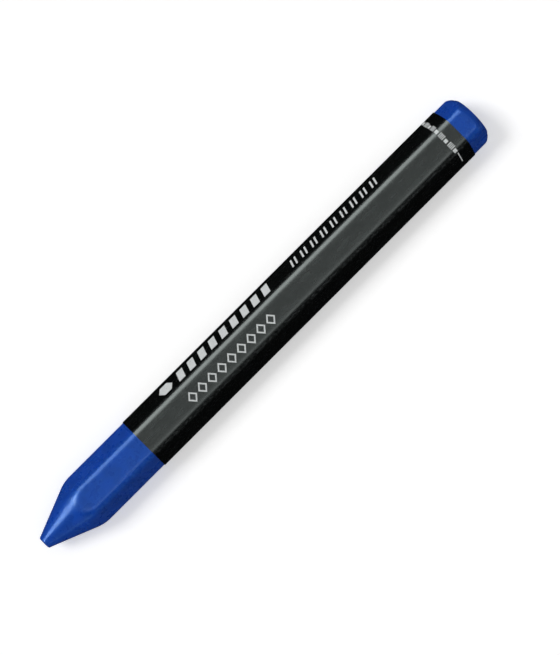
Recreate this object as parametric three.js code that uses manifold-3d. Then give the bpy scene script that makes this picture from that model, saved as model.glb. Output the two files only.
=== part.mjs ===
// A hexagonal wax marking crayon in a glued paper sleeve, lying on one of its flats.
// Millimetres, +Z up. The tip points along +X, and z = 0 is the flat that it lies on.
// The pieces are drawn upright, with the stick's axis on Z, and the group lays them down.
import * as THREE from "three";
import { mergeVertices } from "three/addons/utils/BufferGeometryUtils.js";
import Module from "manifold-3d";

// Wax stick
const LENGTH = 120; // butt face to the end of the tip
const ACROSS_CORNERS = 11.6; // over the rounded corners
const CORNER_RADIUS = 2;
const TIP_LENGTH = 11.2; // of the cone, measured at the corners
const TIP_END_RADIUS = 1.3;
const TIP_EDGE_ROUNDING = 0.45;
const BUTT_CHAMFER = 1.3; // 45 degrees, measured at the corners
const BUTT_EDGE_ROUNDING = 0.5;

// Paper sleeve: one sheet, wound once and lapped over its own start
const SLEEVE_FROM_TIP = 27.6; // bare wax in front of the sleeve
const SLEEVE_LENGTH = 87.5;
const PAPER = 0.12; // thickness of the sheet
const SLEEVE_GAP = 0.03; // between the wax and the sheet
const SEAM_ANGLE = 330; // degrees, the flat that carries the seam
const LEADING_EDGE = -1.2; // across the seam flat, from its middle
const STEP_END = -1.35; // where the sheet has climbed over its start
const TRAILING_EDGE = 1.7;

// Glue lines, each a film in the gap it fills
const GLUE = 0.02;
const LAP_GAP = 0.03; // between the two layers of the lap
const GLUE_EDGE_MARGIN = 0.15; // bare paper beside a glue line
const GLUE_END_MARGIN = 1.5; // bare paper at each end of a glue line

const CORNER_STEPS = 6; // straight steps in one rounded corner
const EASE_STEPS = 4; // straight steps in one eased corner of the turned profile
const ROUND_STEPS = 72; // straight steps round the cone and the butt
const SIDE_CLEARANCE = 0.3; // of the round cutter from the corners between cone and butt

const cornerCentre = ACROSS_CORNERS / 2 - CORNER_RADIUS; // axis to a corner's arc centre
const apothem = cornerCentre * Math.cos(Math.PI / 6) + CORNER_RADIUS; // axis to a flat
const axisHeight = apothem + SLEEVE_GAP + PAPER;
const tipZ = LENGTH / 2;
const buttZ = -LENGTH / 2;
const sleeveTop = tipZ - SLEEVE_FROM_TIP;
const sleeveBottom = sleeveTop - SLEEVE_LENGTH;

const wasm = await Module();
wasm.setup();

function toSolid(geometry) {
  const bare = geometry.clone().deleteAttribute("normal").deleteAttribute("uv");
  const merged = mergeVertices(bare, 1e-4);
  return new wasm.Manifold(
    new wasm.Mesh({
      numProp: 3,
      vertProperties: merged.attributes.position.array,
      triVerts: new Uint32Array(merged.index.array),
    }),
  );
}

function toGeometry(solid) {
  const { vertProperties, triVerts } = solid.getMesh();
  const geometry = new THREE.BufferGeometry();
  geometry.setAttribute("position", new THREE.BufferAttribute(vertProperties, 3));
  geometry.setIndex(new THREE.BufferAttribute(triVerts, 1));
  geometry.computeVertexNormals();
  return geometry;
}

function unitVector(degrees) {
  const angle = THREE.MathUtils.degToRad(degrees);
  return new THREE.Vector2(Math.cos(angle), Math.sin(angle));
}

// A place on the stick's outline: its point there, and the way out of the wax.
function onFlat(normalDegrees, across) {
  const out = unitVector(normalDegrees);
  const sideways = unitVector(normalDegrees + 90);
  const point = out.clone().multiplyScalar(apothem).addScaledVector(sideways, across);
  return { point, out };
}

// The places round one rounded corner, from the flat before it to the flat after it.
function roundCorner(cornerDegrees) {
  const centre = unitVector(cornerDegrees).multiplyScalar(cornerCentre);
  const places = [];
  for (let step = 0; step <= CORNER_STEPS; step++) {
    const out = unitVector(cornerDegrees - 30 + (60 * step) / CORNER_STEPS);
    places.push({ point: centre.clone().addScaledVector(out, CORNER_RADIUS), out });
  }
  return places;
}

function offset(place, distance) {
  return place.point.clone().addScaledVector(place.out, distance);
}

// Extrudes an outline along Z, from one height to another.
function prism(points, bottom, top) {
  const shape = new THREE.Shape(points);
  const settings = { depth: top - bottom, bevelEnabled: false };
  return new THREE.ExtrudeGeometry(shape, settings).translate(0, 0, bottom);
}

// A point at a distance from one point towards another.
function towards(from, to, distance) {
  return to.clone().sub(from).setLength(distance).add(from);
}

// A profile through corner points, where a corner with an ease is rounded over that distance.
function easedProfile(corners) {
  const path = new THREE.Path();
  path.moveTo(corners[0].at.x, corners[0].at.y);
  for (let i = 1; i < corners.length; i++) {
    const { at, ease } = corners[i];
    if (ease) {
      const before = towards(at, corners[i - 1].at, ease);
      const after = towards(at, corners[i + 1].at, ease);
      path.lineTo(before.x, before.y);
      path.quadraticCurveTo(at.x, at.y, after.x, after.y);
    } else {
      path.lineTo(at.x, at.y);
    }
  }
  return path.getPoints(EASE_STEPS);
}

// The round cutter's profile: butt face, chamfer, straight side, tip cone, end of the tip.
// The chamfer and the cone run on past the corners, so the straight side cuts nothing.
function turnedProfile() {
  const cornerRadius = ACROSS_CORNERS / 2;
  const sideRadius = cornerRadius + SIDE_CLEARANCE;
  const coneRise = TIP_LENGTH / (cornerRadius - TIP_END_RADIUS);
  const coneStart = tipZ - coneRise * (sideRadius - TIP_END_RADIUS);
  return easedProfile([
    { at: new THREE.Vector2(0, buttZ) },
    { at: new THREE.Vector2(cornerRadius - BUTT_CHAMFER, buttZ), ease: BUTT_EDGE_ROUNDING },
    { at: new THREE.Vector2(sideRadius, buttZ + BUTT_CHAMFER + SIDE_CLEARANCE) },
    { at: new THREE.Vector2(sideRadius, coneStart) },
    { at: new THREE.Vector2(TIP_END_RADIUS, tipZ), ease: TIP_EDGE_ROUNDING },
    { at: new THREE.Vector2(0, tipZ) },
  ]);
}

function stickGeometry() {
  const corners = [0, 60, 120, 180, 240, 300];
  const outline = corners.flatMap(roundCorner).map((place) => place.point);
  const hexagonal = toSolid(prism(outline, buttZ, tipZ));
  const turned = new THREE.LatheGeometry(turnedProfile(), ROUND_STEPS).rotateX(Math.PI / 2);
  return toGeometry(hexagonal.intersect(toSolid(turned)));
}

// The wound sheet: it starts on the seam flat, goes once round the six corners,
// steps up over its own start and ends near the far side of the seam flat.
function sleeveGeometry() {
  const lapHeight = SLEEVE_GAP + PAPER + LAP_GAP;
  const route = [{ place: onFlat(SEAM_ANGLE, LEADING_EDGE), height: SLEEVE_GAP }];
  for (let turn = 30; turn < 360; turn += 60) {
    for (const place of roundCorner(SEAM_ANGLE + turn)) {
      route.push({ place, height: SLEEVE_GAP });
    }
  }
  route.push({ place: onFlat(SEAM_ANGLE, STEP_END), height: lapHeight });
  route.push({ place: onFlat(SEAM_ANGLE, TRAILING_EDGE), height: lapHeight });
  const outside = route.map(({ place, height }) => offset(place, height + PAPER));
  const inside = route.map(({ place, height }) => offset(place, height));
  return prism([...outside, ...inside.reverse()], sleeveBottom, sleeveTop);
}

// A flat film of glue on the seam flat, with its underside at a height above the wax.
function glueGeometry(height) {
  const from = LEADING_EDGE + GLUE_EDGE_MARGIN;
  const to = TRAILING_EDGE - GLUE_EDGE_MARGIN;
  const outline = [
    offset(onFlat(SEAM_ANGLE, from), height),
    offset(onFlat(SEAM_ANGLE, from), height + GLUE),
    offset(onFlat(SEAM_ANGLE, to), height + GLUE),
    offset(onFlat(SEAM_ANGLE, to), height),
  ];
  return prism(outline, sleeveBottom + GLUE_END_MARGIN, sleeveTop - GLUE_END_MARGIN);
}

const wax = { color: 0x1e499e, roughness: 0.45, metalness: 0 };
const printedPaper = { color: 0x17191a, roughness: 0.35, metalness: 0 };
const driedGlue = { color: 0xd9d2bd, roughness: 0.5, metalness: 0 };

const crayon = new THREE.Group();
crayon.rotation.set(Math.PI / 2, Math.PI / 2, 0); // upright Z becomes +X, and Y becomes +Z
crayon.position.z = axisHeight;

function addPiece(name, geometry, finish) {
  const mesh = new THREE.Mesh(geometry, new THREE.MeshStandardMaterial(finish));
  mesh.name = name;
  crayon.add(mesh);
}

const underSheet = (SLEEVE_GAP - GLUE) / 2;
const inLap = SLEEVE_GAP + PAPER + (LAP_GAP - GLUE) / 2;

addPiece("wax_stick", stickGeometry(), wax);
addPiece("paper_sleeve", sleeveGeometry(), printedPaper);
addPiece("tack_glue_line", glueGeometry(underSheet), driedGlue);
addPiece("lap_glue_line", glueGeometry(inLap), driedGlue);

export default crayon;
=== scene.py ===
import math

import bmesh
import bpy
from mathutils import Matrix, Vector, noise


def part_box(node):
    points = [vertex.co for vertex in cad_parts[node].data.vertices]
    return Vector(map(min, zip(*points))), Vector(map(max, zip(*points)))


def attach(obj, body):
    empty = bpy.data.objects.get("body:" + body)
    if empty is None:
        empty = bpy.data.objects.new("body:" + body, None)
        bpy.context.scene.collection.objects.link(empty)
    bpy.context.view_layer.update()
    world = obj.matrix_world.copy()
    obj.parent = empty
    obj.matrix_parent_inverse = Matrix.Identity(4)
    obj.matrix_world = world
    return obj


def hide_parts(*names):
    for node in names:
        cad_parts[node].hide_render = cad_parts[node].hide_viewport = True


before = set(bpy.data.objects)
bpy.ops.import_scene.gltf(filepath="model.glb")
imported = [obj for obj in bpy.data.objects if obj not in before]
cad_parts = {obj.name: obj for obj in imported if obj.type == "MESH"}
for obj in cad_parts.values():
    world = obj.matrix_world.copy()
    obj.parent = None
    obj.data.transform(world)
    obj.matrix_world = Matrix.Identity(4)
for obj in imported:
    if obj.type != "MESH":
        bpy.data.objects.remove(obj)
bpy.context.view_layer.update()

# A hexagonal wax marking crayon in a printed paper sleeve, seen from above on a pale floor.
# The wax and the sleeve are rebuilt as fine meshes that follow their CAD solids, to within a
# tenth of a millimetre on the outside. The two hidden glue lines stay as the CAD made them.
# Lengths are in metres; MM is one millimetre.

MM = 0.001

# ---------------------------------------------------------------- sizes taken from the frame

stick_low, stick_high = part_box("wax_stick")
sleeve_low, sleeve_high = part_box("paper_sleeve")

AXIS_Z = (stick_low.z + stick_high.z) / 2
TIP_X = stick_high.x
BUTT_X = stick_low.x
CORNER_REACH = (stick_high.y - stick_low.y) / 2  # axis to the outside of a rounded corner
FLAT_REACH = (stick_high.z - stick_low.z) / 2  # axis to a flat
CORNER_CENTRE = (CORNER_REACH - FLAT_REACH) / (1 - math.cos(math.pi / 6))
CORNER_RADIUS = CORNER_REACH - CORNER_CENTRE
HALF_FLAT = CORNER_CENTRE / 2  # half of a flat's width
# The outline is one smooth curve, a power sum over the six flats. With this power it meets the
# outside of each corner, and the middle of each flat to within a micrometre.
EASE = math.log(2) / -math.log(CORNER_REACH * math.cos(math.pi / 6) / FLAT_REACH)
PAPER_REACH = (sleeve_high.z - sleeve_low.z) / 2 - FLAT_REACH  # wax to the paper's outside

# ---------------------------------------------------------------- sizes of the pieces

TIP_LENGTH = 11.2 * MM  # of the cone, measured at the corners
TIP_END_RADIUS = 1.3 * MM
TIP_ROUNDING = 0.45 * MM
BUTT_CHAMFER = 1.3 * MM
BUTT_ROUNDING = 0.45 * MM
EDGE_SOFTNESS = 0.6 * MM  # how far the edges between flats and cone are eased

PAPER = 0.12 * MM
LAP_LIFT = 0.15 * MM  # outer layer of the lap above the inner one
SEAM_FLAT = 2  # counted from the top flat towards +Y
LEADING_EDGE = 1.2 * MM  # these four are measured across the seam flat, from its middle
STEP_START = 1.9 * MM
STEP_END = 1.35 * MM
TRAILING_EDGE = -1.7 * MM

INK_SINK = 0.004 * MM
INK_RISE = 0.012 * MM

CORNER_STEPS = 12
FLAT_STEPS = 10


# ---------------------------------------------------------------- the hexagon's outline


def direction(degrees):
    """A unit vector across the crayon: its x is the row's Y and its y is the row's Z."""
    angle = math.radians(degrees)
    return Vector((math.cos(angle), math.sin(angle)))


def pitch_at(reach):
    """Distance round the outline from one flat's middle to the next one's."""
    return 2 * HALF_FLAT + (CORNER_RADIUS + reach) * math.pi / 3


def eased_place(angle, reach):
    """(point, outward normal) at an angle round the crayon, reach above the wax."""
    ray = Vector((math.cos(angle), math.sin(angle)))
    total = 0
    out = Vector((0, 0))
    for flat in range(6):
        normal = direction(60 * flat + 30)
        facing = max(normal.dot(ray), 0)
        total += facing**EASE
        out += normal * facing ** (EASE - 1)
    radius = FLAT_REACH / total ** (1 / EASE)
    out.normalize()
    return ray * radius + out * reach, out


def outline_place(turn, reach):
    """(point, outward normal) at a distance turn round the outline, reach above the wax.

    turn is 0 on the middle of the top flat and grows towards +Y.
    """
    flat = round(turn / pitch_at(reach))
    across = turn - flat * pitch_at(reach)
    normal = 90 - 60 * flat
    side = math.copysign(1, across)
    if abs(across) <= HALF_FLAT:
        point = direction(normal) * FLAT_REACH + direction(normal - 90) * across
    else:
        past = math.degrees((abs(across) - HALF_FLAT) / (CORNER_RADIUS + reach))
        out = direction(normal - side * past)
        point = direction(normal - side * 30) * CORNER_CENTRE + out * CORNER_RADIUS
    return eased_place(math.atan2(point.y, point.x), reach)


def outline_turns(reach, first_flat, flats):
    """Places round some flats and the corner after each, as distances round the outline."""
    pitch = pitch_at(reach)
    arc = pitch - 2 * HALF_FLAT
    turns = []
    for flat in range(first_flat, first_flat + flats):
        start = flat * pitch - HALF_FLAT
        turns += [start + 2 * HALF_FLAT * i / FLAT_STEPS for i in range(FLAT_STEPS)]
        turns += [start + 2 * HALF_FLAT + arc * i / CORNER_STEPS for i in range(CORNER_STEPS)]
    return turns


def in_row(x, across):
    """A point of the row from its place along the crayon and its place across it."""
    return Vector((x, across.x, AXIS_Z + across.y))


def from_tip(distance):
    """Place along the crayon of something that lies that many millimetres behind the tip."""
    return TIP_X - distance * MM


# ---------------------------------------------------------------- mesh helpers


def new_piece(name, vertices, faces, materials, slots=None, sharp_above=None):
    """A closed, smooth-shaded mesh object.

    slots gives each face's material. Edges that turn by more than sharp_above degrees stay sharp.
    """
    mesh = bpy.data.meshes.new(name)
    mesh.from_pydata([tuple(v) for v in vertices], [], faces)
    for material in materials:
        mesh.materials.append(material)
    if slots:
        mesh.polygons.foreach_set("material_index", slots)
    shaped = bmesh.new()
    shaped.from_mesh(mesh)
    bmesh.ops.recalc_face_normals(shaped, faces=shaped.faces)
    shaped.to_mesh(mesh)
    shaped.free()
    mesh.shade_smooth()
    if sharp_above:
        mesh.set_sharp_from_angle(angle=math.radians(sharp_above))
    piece = bpy.data.objects.new(name, mesh)
    bpy.context.scene.collection.objects.link(piece)
    return piece


def add_attribute(piece, name, values):
    """A named number on each vertex, which a material can read."""
    attribute = piece.data.attributes.new(name, "FLOAT", "POINT")
    attribute.data.foreach_set("value", values)


def place_piece(piece, slot, *replaced):
    """Rides a piece on the crayon's only body and hides what it replaces. slot is not used."""
    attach(piece, "root")
    if replaced:
        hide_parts(*replaced)


# ---------------------------------------------------------------- wax body

FINE_ROW = 0.22 * MM
HIDDEN_ROW = 2.5 * MM
HIDDEN_MARGIN = 1.5 * MM  # fine rows run on this far under the sleeve
BUTT_FACE_RINGS = 8
BUTT_EDGE_RINGS = 6
TIP_EDGE_RINGS = 8
TIP_FACE_RINGS = 6
BUTT_EDGE_ALONG = 0.7  # the butt's rounded edge along and across the crayon,
BUTT_EDGE_ACROSS = 1.3  # as shares of BUTT_ROUNDING

LONG_WAVE = 5 * MM
LONG_WAVE_DEPTH = 0.014 * MM
SHORT_WAVE = 1.1 * MM
SHORT_WAVE_DEPTH = 0.004 * MM
KNOCK_SPACING = 3.6 * MM
KNOCK_SIZE = 0.6 * MM
KNOCK_DEPTH = 0.05 * MM
RELIEF_FADE = 0.8 * MM  # the relief fades out over this distance before the sleeve

# The wax is painted lighter near its ends and corners: partly rubbed wear, partly a painted
# highlight along the corners.
END_WEAR_AND_HIGHLIGHT_REACH = 1 * MM
CORNER_WEAR_AND_HIGHLIGHT_POWER = 3  # the higher, the closer the wear and the painted highlight stay to the corners


def smooth_min(a, b, softness):
    """The smaller of a and b, blended where they are within softness of each other."""
    near = max(softness - abs(a - b), 0) / softness
    return min(a, b) - near * near * softness / 4


def turned_radius(x):
    """The round cutter's radius at x: the butt's chamfer or the tip's cone."""
    slope = (CORNER_REACH - TIP_END_RADIUS) / TIP_LENGTH
    at_tip = TIP_END_RADIUS + (TIP_X - x) * slope
    at_butt = CORNER_REACH - BUTT_CHAMFER + (x - BUTT_X)
    return min(at_tip, at_butt)


def wax_rows():
    """(x, largest radius) of each ring of the wax, from the butt face to the end of the tip."""
    butt_flat = turned_radius(BUTT_X) - BUTT_ROUNDING
    rows = []
    for step in range(1, BUTT_FACE_RINGS + 1):
        rows.append((BUTT_X, butt_flat * step / BUTT_FACE_RINGS))
    for step in range(1, BUTT_EDGE_RINGS + 1):
        angle = math.pi / 2 * step / BUTT_EDGE_RINGS
        x = BUTT_X + BUTT_ROUNDING * (1 - math.cos(angle)) * BUTT_EDGE_ALONG
        rows.append((x, butt_flat + BUTT_ROUNDING * math.sin(angle) * BUTT_EDGE_ACROSS))
    x = rows[-1][0] + FINE_ROW
    while x < TIP_X - TIP_ROUNDING:
        rows.append((x, turned_radius(x)))
        hidden = sleeve_low.x + HIDDEN_MARGIN < x < sleeve_high.x - HIDDEN_MARGIN - HIDDEN_ROW
        x += HIDDEN_ROW if hidden else FINE_ROW
    cone_end = turned_radius(TIP_X - TIP_ROUNDING)
    tip_flat = cone_end - TIP_ROUNDING
    for step in range(TIP_EDGE_RINGS + 1):
        angle = math.pi / 2 * step / TIP_EDGE_RINGS
        x = TIP_X - TIP_ROUNDING * (1 - math.sin(angle))
        rows.append((x, tip_flat + TIP_ROUNDING * math.cos(angle)))
    for step in range(1, TIP_FACE_RINGS):
        rows.append((TIP_X, tip_flat * (1 - step / TIP_FACE_RINGS)))
    return rows


def bareness(x):
    """1 on bare wax, falling to 0 at the sleeve's edges."""
    clear = max(x - sleeve_high.x, sleeve_low.x - x)
    return min(max(clear / RELIEF_FADE, 0), 1)


def knock_depth(point):
    """Depth of the small knocks that are scattered over the wax."""
    distances, _ = noise.voronoi(point / KNOCK_SPACING)
    near = min(distances[0] * KNOCK_SPACING / KNOCK_SIZE, 1)
    return KNOCK_DEPTH * (1 - near * near) ** 2


def wax_relief(point):
    """How far the moulded wax stands in or out of its ideal surface."""
    waves = noise.noise(point / LONG_WAVE) * LONG_WAVE_DEPTH
    waves += noise.noise(point / SHORT_WAVE) * SHORT_WAVE_DEPTH
    return (waves - knock_depth(point)) * bareness(point.x)


def wax_vertex(x, limit, point, out):
    """A point of the wax's surface: the outline, trimmed by a round cutter of radius limit."""
    radius = smooth_min(point.length, limit, min(EDGE_SOFTNESS, limit / 2))
    surface = in_row(x, point * (radius / point.length))
    if not BUTT_X < x < TIP_X:
        return surface
    return surface + Vector((0, out.x, out.y)) * wax_relief(surface)


def edge_wear_and_highlight(x, point):
    """1 at both ends and along the corners, falling to 0 away from them. The wax is painted
    lighter there, partly as rubbed wear and partly as a painted highlight along the corners.
    """
    corner = max((point.length - FLAT_REACH) / (CORNER_REACH - FLAT_REACH), 0)
    near_end = 1 - min(x - BUTT_X, TIP_X - x) / END_WEAR_AND_HIGHLIGHT_REACH
    return max(near_end, corner**CORNER_WEAR_AND_HIGHLIGHT_POWER, 0)


def make_wax(material):
    places = [outline_place(turn, 0) for turn in outline_turns(0, 0, 6)]
    rows = wax_rows()
    vertices = [in_row(BUTT_X, Vector((0, 0)))]
    wear_and_highlight = [0.0]
    for x, limit in rows:
        for point, out in places:
            vertices.append(wax_vertex(x, limit, point, out))
            wear_and_highlight.append(edge_wear_and_highlight(x, point))
    vertices.append(in_row(TIP_X, Vector((0, 0))))
    wear_and_highlight.append(0.0)
    around = len(places)
    last = len(vertices) - 1
    faces = []
    for i in range(around):
        j = (i + 1) % around
        faces.append((0, 1 + i, 1 + j))
        faces.append((last, last - around + j, last - around + i))
        for ring in range(len(rows) - 1):
            low = 1 + ring * around
            high = low + around
            faces.append((low + i, high + i, high + j, low + j))
    piece = new_piece("wax_body", vertices, faces, [material])
    add_attribute(piece, "edge_wear_and_highlight", wear_and_highlight)
    place_piece(piece, "blue_wax", "wax_stick")


# ---------------------------------------------------------------- paper sleeve

SLEEVE_ROW = 0.8 * MM
LAP_STEPS = 8

SLEEVE_WAVE_ALONG = 9 * MM
SLEEVE_WAVE_AROUND = 3.5 * MM
SLEEVE_WAVE_HEIGHT = 0.012 * MM
REST_FLAT = 3  # the flat that the crayon lies on, counted as SEAM_FLAT is
LAP_FADE = 0.4  # the relief fades in over this share of a pitch beside the lap's flat
REST_FADE = 0.3  # and over this share beside the rest flat

CUT_WANDER = 0.07 * MM  # how far the cut ends wander from a straight line
CUT_WANDER_REACH = 2 * MM  # how far from the cut the paper's rows are drawn in with it
CUT_WANDER_AROUND = 2.6 * MM
CUT_LIFT = 0.035 * MM  # how far the cut ends stand off
CUT_LIFT_REACH = 1.2 * MM
CUT_LIFT_ALONG = 20 * MM
CUT_LIFT_AROUND = 4.375 * MM

CREASE_WEAR_AND_HIGHLIGHT_POWER = 4  # the higher, the closer the creases' wear and painted highlight stay to the corners

# Where each use of the noise is taken from, so that no two are alike.
WAVE_NOISE = 0.4
LIFT_NOISE = 7.1
REAR_CUT_NOISE = 3.3
FRONT_CUT_NOISE = 8.9


def noise_at(a, b, c=0.0):
    """Smooth noise, from about 0 to 1, at a place in its own space."""
    return noise.noise(Vector((a, b, c))) * 0.5 + 0.5


def clear_of(flat, turn, fade):
    """0 all over a flat, rising to 1 at a distance of fade pitches beyond it."""
    pitch = pitch_at(PAPER_REACH)
    nearest = min(abs(turn - flat * pitch), abs(turn - (flat - 6) * pitch)) / pitch
    return min(max(nearest - 0.5, 0) / fade, 1)


def sleeve_relief(x, turn):
    """How far the paper stands off its ideal surface.

    It has slight waves and lifted cut ends, and none of either at the lap or under the crayon.
    """
    wave = noise_at(x / SLEEVE_WAVE_ALONG, turn / SLEEVE_WAVE_AROUND, WAVE_NOISE)
    from_cut = min(x - sleeve_low.x, sleeve_high.x - x)
    near_cut = max(0, 1 - from_cut / CUT_LIFT_REACH)
    lift = noise_at(turn / CUT_LIFT_AROUND, x / CUT_LIFT_ALONG, LIFT_NOISE) * near_cut
    clear = clear_of(SEAM_FLAT, turn, LAP_FADE) * clear_of(REST_FLAT, turn, REST_FADE)
    return (SLEEVE_WAVE_HEIGHT * wave + CUT_LIFT * lift) * clear


def sleeve_place(x, turn, height):
    """A point height above the sleeve's outside."""
    point, out = outline_place(turn, PAPER_REACH)
    return in_row(x, point + out * (height + sleeve_relief(x, turn)))


def sheet_stations():
    """(turn, lift) round the outside of the sheet, from its leading edge to its trailing edge."""
    pitch = pitch_at(PAPER_REACH)
    start = SEAM_FLAT * pitch + LEADING_EDGE
    seam_again = (SEAM_FLAT - 6) * pitch
    round_trip = reversed(outline_turns(PAPER_REACH, SEAM_FLAT - 6, 7))
    stations = [(start, 0.0)]
    stations += [(t, 0.0) for t in round_trip if seam_again + STEP_START <= t < start]
    for step in range(1, LAP_STEPS + 1):
        share = step / LAP_STEPS
        turn = seam_again + STEP_START + (STEP_END - STEP_START) * share
        stations.append((turn, LAP_LIFT * share * share * (3 - 2 * share)))
    for step in range(1, LAP_STEPS + 1):
        turn = seam_again + STEP_END + (TRAILING_EDGE - STEP_END) * step / LAP_STEPS
        stations.append((turn, LAP_LIFT))
    return stations


def sleeve_rows():
    """Places along the sleeve of its rows, from its rear end to its front end."""
    count = round((sleeve_high.x - sleeve_low.x) / SLEEVE_ROW)
    rows = [sleeve_low.x + (sleeve_high.x - sleeve_low.x) * i / count for i in range(count + 1)]
    near_rear = [sleeve_low.x + step * SLEEVE_ROW / 4 for step in (1, 2, 3)]
    near_front = [sleeve_high.x - step * SLEEVE_ROW / 4 for step in (1, 2, 3)]
    return sorted(rows + near_rear + near_front)


def cut_wander(x, turn):
    """How far a place near a cut end is drawn in by the cut's wandering line."""
    near_rear = max(0, 1 - (x - sleeve_low.x) / CUT_WANDER_REACH)
    near_front = max(0, 1 - (sleeve_high.x - x) / CUT_WANDER_REACH)
    around = turn / CUT_WANDER_AROUND
    rear = noise_at(around, REAR_CUT_NOISE) * near_rear
    front = noise_at(around, FRONT_CUT_NOISE) * near_front
    return CUT_WANDER * (rear - front)


def sheet_vertices(rows, stations):
    """(vertices, crease shares): pairs of an outer and an inner vertex, station by station. A
    crease share paints the print paler at the corners, as wear and as a painted highlight.
    """
    flat = FLAT_REACH + PAPER_REACH
    corner = CORNER_REACH + PAPER_REACH
    vertices = []
    creases_worn_and_highlighted = []
    for x in rows:
        for turn, lift in stations:
            drawn = x + cut_wander(x, turn)
            vertices.append(sleeve_place(drawn, turn, lift))
            vertices.append(sleeve_place(drawn, turn, lift - PAPER))
            point, _ = outline_place(turn, PAPER_REACH)
            crease_wear_and_highlight = max((point.length - flat) / (corner - flat), 0) ** CREASE_WEAR_AND_HIGHLIGHT_POWER
            creases_worn_and_highlighted += [crease_wear_and_highlight, crease_wear_and_highlight]
    return vertices, creases_worn_and_highlighted


def sheet_faces(row_count, width):
    """(faces, slots): slot 0 is the printed outside, 1 the inside and the cut edges.

    s is a station's outer vertex, and its inner one comes next.
    """
    faces = []
    slots = []

    def add_face(slot, *corners):
        faces.append(corners)
        slots.append(slot)

    for row in range(row_count - 1):
        low = row * width
        high = low + width
        for s in range(0, width - 2, 2):
            add_face(0, low + s, low + s + 2, high + s + 2, high + s)
            add_face(1, low + s + 1, high + s + 1, high + s + 3, low + s + 3)
        add_face(1, low, high, high + 1, low + 1)
        add_face(1, low + width - 2, low + width - 1, high + width - 1, high + width - 2)
    top = (row_count - 1) * width
    for s in range(0, width - 2, 2):
        add_face(1, s, s + 1, s + 3, s + 2)
        add_face(1, top + s, top + s + 2, top + s + 3, top + s + 1)
    return faces, slots


def make_sleeve(printed, core):
    rows = sleeve_rows()
    stations = sheet_stations()
    vertices, creases_worn_and_highlighted = sheet_vertices(rows, stations)
    faces, slots = sheet_faces(len(rows), 2 * len(stations))
    piece = new_piece("sleeve_sheet", vertices, faces, [printed, core], slots, sharp_above=40)
    add_attribute(piece, "crease_wear_and_highlight", creases_worn_and_highlighted)
    place_piece(piece, "printed_paper", "paper_sleeve")


# ---------------------------------------------------------------- printed marks

SIDE_ROW = -pitch_at(PAPER_REACH)  # middle of the flat beside the top one, on the -Y side

SIDE_LOW = SIDE_ROW - 1.3 * MM  # the bold bars reach from here
SIDE_HIGH = SIDE_ROW + 2.1 * MM  # to here
MARKS_IN_A_ROW = 9
MARKS_OFF_MIDDLE = 0.3 * MM  # the spot and the lozenges lie this far from their flat's middle

SPOT_X = from_tip(38.3)
SPOT_HALF_LENGTH = 1.8 * MM
SPOT_HALF_HEIGHT = 1.55 * MM

BOLD_X = from_tip(42.4)  # of the bar nearest the tip
BOLD_STEP = 2.95 * MM
BOLD_WIDTH = 1.65 * MM
BOLD_SLANT = 0.7 * MM

FINE_X = from_tip(73.4)
FINE_STEP = 2.78 * MM
FINE_PAIR_STEP = 1.05 * MM  # from one bar of a pair to the other
FINE_WIDTH = 0.42 * MM
FINE_SLANT = 0.6 * MM
FINE_LOW = SIDE_LOW + 0.4 * MM
FINE_HIGH = SIDE_HIGH - 0.3 * MM

LOZENGE_X = from_tip(40.9)
LOZENGE_STEP = 2.7 * MM
LOZENGE_HALF_LENGTH = 1.15 * MM
LOZENGE_HALF_HEIGHT = 1.3 * MM
LOZENGE_STROKE = 0.3 * MM

RING_X = from_tip(112.05)
RING_START = -3.41 * pitch_at(PAPER_REACH)  # in flats from the top one, towards -Y
RING_GROUPS = 9
RING_GROUP_STEP = 2.66 * MM  # a group is some fine strokes, then a block
RING_STROKES = 4
RING_STROKE_STEP = 0.34 * MM
RING_STROKE_WIDTH = 0.19 * MM
RING_STROKE_LENGTH = 1.1 * MM
RING_GAP = 0.14 * MM
RING_BLOCK = 0.78 * MM
RING_BLOCK_SHIFT = 0.1 * MM
RING_LINE_WIDTH = 0.22 * MM
RING_LINE_LENGTH = 3.4 * MM
RING_LINE_CELLS = 20


def make_marks(name, cells, ink):
    """Thin closed slabs of ink that follow the paper. A cell is a polygon of (x, turn) points."""
    index = {}
    low = []
    high = []
    faces = []
    borders = set()
    for cell in cells:
        corners = []
        for x, turn in cell:
            key = (round(x * 1e7), round(turn * 1e7))
            if key not in index:
                index[key] = len(index)
                low.append(sleeve_place(x, turn, -INK_SINK))
                high.append(sleeve_place(x, turn, INK_RISE))
            if index[key] not in corners:
                corners.append(index[key])
        if len(corners) < 3:
            continue
        faces.append(corners)
        borders.update(zip(corners, corners[1:] + corners[:1]))
    count = len(index)
    slabs = [[i + count for i in face] for face in faces]
    slabs += [list(reversed(face)) for face in faces]
    for a, b in sorted(borders):
        if (b, a) not in borders:
            slabs.append([a, b, b + count, a + count])
    piece = new_piece(name, low + high, slabs, [ink], sharp_above=40)
    place_piece(piece, "pale_ink")


def strip(rows):
    """Cells between rows of (turn, x from, x to)."""
    cells = []
    for (turn_a, from_a, to_a), (turn_b, from_b, to_b) in zip(rows, rows[1:]):
        cells.append([(from_a, turn_a), (to_a, turn_a), (to_b, turn_b), (from_b, turn_b)])
    return cells


def bar(x, width, turn_from, turn_to, slant=0, steps=8):
    """A bar across the paper, its far end shifted along the crayon by slant."""
    rows = []
    for step in range(steps + 1):
        share = step / steps
        shift = slant * (share - 0.5)
        turn = turn_from + (turn_to - turn_from) * share
        rows.append((turn, x + shift - width / 2, x + shift + width / 2))
    return strip(rows)


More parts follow.
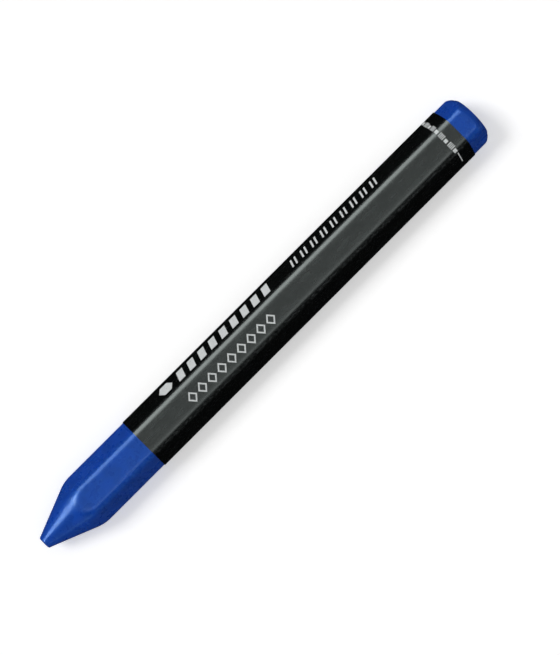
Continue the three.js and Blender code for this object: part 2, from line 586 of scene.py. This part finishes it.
def lozenge_frame(x, turn, half_length, half_height, stroke):
    """The outline of a lozenge, drawn with a stroke."""
    slope = math.hypot(half_length, half_height)
    inner_length = half_length - stroke * slope / half_height
    inner_height = half_height - stroke * slope / half_length
    left = []
    right = []
    for height in (-half_height, -inner_height, 0, inner_height, half_height):
        outer = half_length * (1 - abs(height) / half_height)
        inner = inner_length * max(1 - abs(height) / inner_height, 0)
        left.append((turn + height, x - outer, x - inner))
        right.append((turn + height, x + inner, x + outer))
    return strip(left) + strip(right)


def hexagon(x, turn, half_length, half_height):
    """A filled hexagon with its points along the crayon."""
    rows = []
    for share in (-1, -0.5, 0, 0.5, 1):
        reach = half_length * (1 - abs(share) / 2)
        rows.append((turn + half_height * share, x - reach, x + reach))
    return strip(rows)


def make_side_print(ink):
    """A spot, bold bars and pairs of fine bars, in place of the words on the side flat."""
    spot_turn = SIDE_ROW + MARKS_OFF_MIDDLE
    spot = hexagon(SPOT_X, spot_turn, SPOT_HALF_LENGTH, SPOT_HALF_HEIGHT)
    make_marks("print_spot", spot, ink)
    bold = []
    fine = []
    for i in range(MARKS_IN_A_ROW):
        bold += bar(BOLD_X - BOLD_STEP * i, BOLD_WIDTH, SIDE_LOW, SIDE_HIGH, BOLD_SLANT)
        for x in (FINE_X, FINE_X - FINE_PAIR_STEP):
            fine += bar(x - FINE_STEP * i, FINE_WIDTH, FINE_LOW, FINE_HIGH, FINE_SLANT)
    make_marks("print_bold_bars", bold, ink)
    make_marks("print_fine_bars", fine, ink)


def make_top_print(ink):
    """A chain of open lozenges, in place of the word on the top flat."""
    size = (LOZENGE_HALF_LENGTH, LOZENGE_HALF_HEIGHT, LOZENGE_STROKE)
    chain = []
    for i in range(MARKS_IN_A_ROW):
        chain += lozenge_frame(LOZENGE_X - LOZENGE_STEP * i, MARKS_OFF_MIDDLE, *size)
    make_marks("print_lozenges", chain, ink)


def make_ring_print(ink):
    """Strokes and blocks round the rear end, and a thin line after them."""
    ring = []
    for i in range(RING_GROUPS):
        turn = RING_START + RING_GROUP_STEP * i
        for _ in range(RING_STROKES):
            ring += bar(RING_X, RING_STROKE_LENGTH, turn, turn + RING_STROKE_WIDTH, steps=2)
            turn += RING_STROKE_STEP
        turn += RING_GAP
        ring += bar(RING_X + RING_BLOCK_SHIFT, RING_BLOCK, turn, turn + RING_BLOCK)
    turn = RING_START + RING_GROUP_STEP * RING_GROUPS
    line_end = turn + RING_LINE_LENGTH
    ring += bar(RING_X, RING_LINE_WIDTH, turn, line_end, steps=RING_LINE_CELLS)
    make_marks("print_ring", ring, ink)


# ---------------------------------------------------------------- materials


def srgb(red, green, blue):
    """A colour from 0 to 255 display values, as linear values with alpha."""
    linear = []
    for value in (red, green, blue):
        v = value / 255
        linear.append(v / 12.92 if v <= 0.04045 else ((v + 0.055) / 1.055) ** 2.4)
    return (*linear, 1.0)


SEED_SHIFT = (7.3, 3.1, 5.7)  # how far one seed of the grain lies from the next


class Look:
    """A node material built by short calls, patterned in the piece's own coordinates."""

    def __init__(self, name):
        self.material = bpy.data.materials.new(name)
        self.material.use_nodes = True
        self.tree = self.material.node_tree
        self.tree.nodes.clear()
        self.place = self.add("ShaderNodeTexCoord").outputs["Object"]

    def add(self, kind, inputs=None, **settings):
        node = self.tree.nodes.new(kind)
        for name, value in settings.items():
            setattr(node, name, value)
        for name, value in (inputs or {}).items():
            if isinstance(value, bpy.types.NodeSocket):
                self.tree.links.new(value, node.inputs[name])
            else:
                node.inputs[name].default_value = value
        return node

    def grain(self, size, stretch=1, detail=3, seed=0):
        """Noise from 0 to 1 with features of size mm, drawn out along the crayon by stretch."""
        scale = (1 / (MM * size * stretch), 1 / (MM * size), 1 / (MM * size))
        shift = [seed * step for step in SEED_SHIFT]
        vector = self.add(
            "ShaderNodeMapping", {"Vector": self.place, "Scale": scale, "Location": shift}
        )
        texture = self.add(
            "ShaderNodeTexNoise",
            {"Vector": vector.outputs[0], "Scale": 1.0, "Detail": detail, "Roughness": 0.55},
        )
        return texture.outputs["Fac"]

    def attribute(self, name):
        return self.add("ShaderNodeAttribute", attribute_name=name).outputs["Fac"]

    def between(self, value, low, high, to_low=0.0, to_high=1.0):
        """value carried smoothly from low..high to to_low..to_high, and held outside it."""
        inputs = {
            "Value": value,
            "From Min": low,
            "From Max": high,
            "To Min": to_low,
            "To Max": to_high,
        }
        return self.add("ShaderNodeMapRange", inputs, interpolation_type="SMOOTHSTEP").outputs[0]

    def math(self, operation, a, b):
        return self.add("ShaderNodeMath", {0: a, 1: b}, operation=operation).outputs[0]

    def mix(self, share, a, b):
        """Colour a turning into colour b as share goes from 0 to 1."""
        node = self.add("ShaderNodeMix", {0: share, 6: a, 7: b}, data_type="RGBA")
        return node.outputs[2]

    def bump(self, height, strength, depth, normal=None):
        inputs = {"Height": height, "Strength": strength, "Distance": depth * MM}
        if normal:
            inputs["Normal"] = normal
        return self.add("ShaderNodeBump", inputs).outputs[0]

    def finish(self, inputs):
        shader = self.add("ShaderNodeBsdfPrincipled", inputs)
        self.add("ShaderNodeOutputMaterial", {"Surface": shader.outputs[0]})
        return self.material


def wax_look():
    """Pigmented wax: mottled blue with pale specks, drag lines, edges painted lighter (partly
    rubbed wear, partly a painted highlight) and a faint coat.
    """
    look = Look("blue_wax")
    mottle = look.between(look.grain(2.6, detail=4), 0.35, 0.65)
    colour = look.mix(mottle, srgb(7, 64, 166), srgb(10, 70, 180))
    specks = look.between(look.grain(0.16, detail=2, seed=1), 0.66, 0.74, 0.0, 0.35)
    colour = look.mix(specks, colour, srgb(40, 96, 176))
    drag = look.between(look.grain(0.12, stretch=26, detail=2, seed=2), 0.62, 0.72)
    colour = look.mix(look.math("MULTIPLY", drag, 0.22), colour, srgb(58, 112, 190))
    # Lighter blue along the corners and ends: partly rubbed wear, partly a painted highlight.
    rubbed_and_highlight = look.math("MULTIPLY", look.attribute("edge_wear_and_highlight"), look.grain(0.5, seed=3))
    colour = look.mix(look.between(rubbed_and_highlight, 0.25, 0.75, 0.0, 0.35), colour, srgb(66, 116, 190))
    roughness = look.between(look.grain(1.6, detail=2, seed=4), 0.3, 0.7, 0.26, 0.31)
    pores = look.bump(look.grain(0.12, detail=2, seed=5), 0.12, 0.03)
    surface = look.bump(look.grain(0.12, stretch=26, detail=2, seed=2), 0.15, 0.02, pores)
    return look.finish({
        "Base Color": colour,
        "Roughness": roughness,
        "Normal": surface,
        "Specular IOR Level": 0.85,
        "Specular Tint": (0.22, 0.52, 1.0, 1.0),
        "Coat Weight": 0.22,
        "Coat Roughness": 0.18,
        "Subsurface Weight": 0.12,
        "Subsurface Radius": (0.25, 0.45, 1.0),
        "Subsurface Scale": 0.6 * MM,
    })


def printed_look():
    """Coated paper under a solid dark print, paler along the folds: partly worn ink, partly a
    painted highlight.
    """
    look = Look("dark_printed_paper")
    cloud = look.between(look.grain(3.5, detail=3), 0.3, 0.7)
    colour = look.mix(cloud, srgb(5, 7, 7), srgb(9, 11, 11))
    fibre = look.grain(0.11, stretch=3, detail=4, seed=1)
    colour = look.mix(look.between(fibre, 0.6, 0.75, 0.0, 0.3), colour, srgb(52, 56, 56))
    # Paler grey along the corners: partly worn ink, partly a painted highlight along the corners.
    fold_wear_and_highlight = look.math("MULTIPLY", look.attribute("crease_wear_and_highlight"), look.grain(0.35, stretch=2, seed=2))
    colour = look.mix(look.between(fold_wear_and_highlight, 0.3, 0.75, 0.0, 0.45), colour, srgb(84, 88, 88))
    pinholes = look.between(look.grain(0.14, detail=1, seed=3), 0.78, 0.82, 0.0, 0.4)
    colour = look.mix(pinholes, colour, srgb(150, 150, 146))
    roughness = look.between(look.grain(1.2, stretch=3, detail=2, seed=4), 0.3, 0.7, 0.24, 0.28)
    surface = look.bump(fibre, 0.05, 0.02)
    surface = look.bump(look.grain(1.4, detail=2, seed=5), 0.05, 0.03, surface)
    return look.finish({
        "Base Color": colour,
        "Roughness": roughness,
        "Normal": surface,
        "Specular IOR Level": 0.85,
        "Specular Tint": (0.9, 1.0, 0.97, 1.0),
    })


def core_look():
    """The paper's unprinted cut edges and inside."""
    look = Look("bare_paper")
    fibre = look.grain(0.07, stretch=4, detail=4)
    colour = look.mix(look.between(fibre, 0.3, 0.7), srgb(176, 170, 158), srgb(216, 212, 202))
    return look.finish({
        "Base Color": colour,
        "Roughness": look.between(fibre, 0.2, 0.8, 0.75, 0.95),
        "Normal": look.bump(fibre, 0.4, 0.02),
    })


def ink_look():
    """Pale ink, a little thin in places, over dark print."""
    look = Look("pale_ink")
    thin = look.between(look.grain(0.22, detail=4), 0.55, 0.72, 0.0, 0.5)
    colour = look.mix(thin, srgb(222, 226, 226), srgb(120, 126, 128))
    return look.finish({
        "Base Color": colour,
        "Roughness": look.between(look.grain(0.3, seed=1), 0.3, 0.7, 0.4, 0.55),
        "Normal": look.bump(look.grain(0.1, detail=3, seed=2), 0.2, 0.01),
    })


def glue_look():
    """Dried, slightly amber glue."""
    look = Look("dried_glue")
    cloudy = look.between(look.grain(0.6, detail=3), 0.3, 0.7)
    return look.finish({
        "Base Color": look.mix(cloudy, srgb(196, 184, 150), srgb(226, 218, 192)),
        "Roughness": look.between(cloudy, 0.0, 1.0, 0.35, 0.55),
    })


# ---------------------------------------------------------------- camera, lights and floor

CAMERA_FOOT = Vector((from_tip(27.8), 0.0, AXIS_Z))  # the point straight below the camera
CAMERA_HEIGHT = 0.536
CAMERA_LENS = 148.798  # in millimetres, like the sensor
CAMERA_SENSOR = 36.0
AIM = Vector((from_tip(63.0), 2.78 * MM, AXIS_Z))
ROLL = 45.04  # degrees that the crayon is turned in the picture

FLOOR_SIZE = 3
FLOOR_GLOW = 0.42  # the strength of the floor's own light
SOFTBOX_DISTANCE = 10.0
LEAST_DISTANCE = 0.001  # keeps the mirrored boxes' slopes finite
MIRRORED_BOXES = (
    # seen along the corner between the top flat and the printed side flat
    {"toward": (-0.06, -0.59, 0.805), "along": 30, "across": 40, "radiance": 4.2},
    # seen on the cone
    {"toward": (0.69, -0.50, 0.53), "along": 26, "across": 22, "radiance": 7.0},
    # seen where the top flat turns down towards the unprinted side
    {"toward": (-0.05, 0.21, 0.98), "along": 50, "across": 8, "radiance": 1.9},
    # low glows beyond the tip and the butt
    {"toward": (0.85, 0, 0.45), "along": 32, "across": 110, "radiance": 0.35},
    {"toward": (-0.85, 0, 0.45), "along": 32, "across": 110, "radiance": 0.35},
)


def make_camera():
    camera_data = bpy.data.cameras.new("camera")
    camera = bpy.data.objects.new("camera", camera_data)
    bpy.context.scene.collection.objects.link(camera)
    position = CAMERA_FOOT + Vector((0, 0, CAMERA_HEIGHT))
    camera_data.sensor_width = CAMERA_SENSOR
    camera_data.lens = CAMERA_LENS
    back = (position - AIM).normalized()
    roll = math.radians(ROLL)
    up_hint = Vector((-math.sin(roll), -math.cos(roll), 0))
    right = up_hint.cross(back).normalized()
    up = back.cross(right)
    turn = Matrix((right, up, back)).transposed().to_4x4()
    camera.matrix_world = Matrix.Translation(position) @ turn
    bpy.context.scene.camera = camera


def softbox_axes(toward):
    """(side, up, back): along the crayon, across it, and from the crayon to the soft box."""
    back = Vector(toward).normalized()
    side = (Vector((1, 0, 0)) - back * back.x).normalized()
    return side, back.cross(side), back


def make_softbox(name, toward, along, across, radiance):
    """A distant soft box that faces the crayon from a direction.

    along and across are its width in degrees beside the crayon and across it.
    """
    data = bpy.data.lights.new(name, "AREA")
    data.shape = "RECTANGLE"
    data.size = 2 * SOFTBOX_DISTANCE * math.tan(math.radians(along / 2))
    data.size_y = 2 * SOFTBOX_DISTANCE * math.tan(math.radians(across / 2))
    data.energy = radiance * math.pi * data.size * data.size_y
    light = bpy.data.objects.new(name, data)
    bpy.context.scene.collection.objects.link(light)
    side, up, back = softbox_axes(toward)
    turn = Matrix((side, up, back)).transposed().to_4x4()
    light.matrix_world = Matrix.Translation(back * SOFTBOX_DISTANCE) @ turn
    light.visible_camera = False


class Sky:
    """The world's light as a node tree built by short calls."""

    def __init__(self, name):
        world = bpy.data.worlds.new(name)
        bpy.context.scene.world = world
        world.use_nodes = True
        self.tree = world.node_tree
        self.tree.nodes.clear()
        self.place = self.tree.nodes.new("ShaderNodeTexCoord").outputs["Generated"]

    def compute(self, operation, *values):
        node = self.tree.nodes.new("ShaderNodeMath")
        node.operation = operation
        for socket, value in zip(node.inputs, values):
            if isinstance(value, bpy.types.NodeSocket):
                self.tree.links.new(value, socket)
            else:
                socket.default_value = value
        return node.outputs[0]

    def along_axis(self, axis):
        """How far the ray's direction runs along an axis."""
        node = self.tree.nodes.new("ShaderNodeVectorMath")
        node.operation = "DOT_PRODUCT"
        self.tree.links.new(self.place, node.inputs[0])
        node.inputs[1].default_value = axis
        return node.outputs["Value"]

    def within(self, axis, distance, degrees):
        """1 where the ray passes within a box's width in degrees along an axis, otherwise 0."""
        slope = self.compute("ABSOLUTE", self.compute("DIVIDE", self.along_axis(axis), distance))
        return self.compute("LESS_THAN", slope, math.tan(math.radians(degrees / 2)))

    def in_box(self, toward, along, across):
        """1 where the ray meets a box that lies in a direction, otherwise 0."""
        side, up, back = softbox_axes(toward)
        distance = self.compute("MAXIMUM", self.along_axis(back), LEAST_DISTANCE)
        in_length = self.within(side, distance, along)
        in_height = self.within(up, distance, across)
        return self.compute("MULTIPLY", in_length, in_height)

    def finish(self, strength):
        light = self.tree.nodes.new("ShaderNodeBackground")
        light.inputs["Color"].default_value = (1, 1, 1, 1)
        self.tree.links.new(strength, light.inputs["Strength"])
        output = self.tree.nodes.new("ShaderNodeOutputWorld")
        self.tree.links.new(light.outputs[0], output.inputs[0])


def make_world(at_horizon, from_zenith, mirrored, mirrored_boxes):
    """A white backdrop that lights the crayon softly, more from the zenith than the horizon.

    mirrored is the share of its light that shows in reflections. The mirrored boxes are soft
    boxes that show in nothing else.
    """
    sky = Sky("studio")
    level = sky.compute("MAXIMUM", sky.along_axis((0, 0, 1)), 0.0)
    level = sky.compute("MULTIPLY_ADD", level, from_zenith, at_horizon)
    reflection = sky.compute("MULTIPLY", level, mirrored)
    for box in mirrored_boxes:
        inside = sky.in_box(box["toward"], box["along"], box["across"])
        reflection = sky.compute("MULTIPLY_ADD", inside, box["radiance"], reflection)
    ray = sky.tree.nodes.new("ShaderNodeLightPath").outputs
    change = sky.compute("SUBTRACT", reflection, level)
    level = sky.compute("MULTIPLY_ADD", ray["Is Glossy Ray"], change, level)
    sky.finish(sky.compute("MAXIMUM", level, ray["Is Camera Ray"]))


def make_floor():
    bpy.ops.mesh.primitive_plane_add(size=FLOOR_SIZE, location=(0, 0, 0))
    floor = bpy.context.object
    floor.name = "floor"
    look = Look("pale_floor")
    grain = look.grain(4, detail=2)
    colour = look.mix(grain, srgb(243, 243, 243), srgb(246, 246, 246))
    inputs = {"Base Color": colour, "Roughness": 0.9}
    inputs.update({"Emission Color": (1, 1, 1, 1), "Emission Strength": FLOOR_GLOW})
    floor.data.materials.append(look.finish(inputs))
    floor.visible_glossy = False


make_wax(wax_look())
make_sleeve(printed_look(), core_look())
ink = ink_look()
make_side_print(ink)
make_top_print(ink)
make_ring_print(ink)

glue = glue_look()
for node in ("tack_glue_line", "lap_glue_line"):
    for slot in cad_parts[node].material_slots:
        slot.material = glue

make_camera()
make_floor()
make_world(at_horizon=0.12, from_zenith=0.17, mirrored=0.055, mirrored_boxes=MIRRORED_BOXES)
make_softbox("key_light", toward=(0.42, -0.44, 0.79), along=18, across=18, radiance=12.8)
make_softbox("top_light", toward=(0.05, -0.10, 1), along=68, across=60, radiance=0.40)
bpy.context.scene.view_settings.view_transform = "Standard"
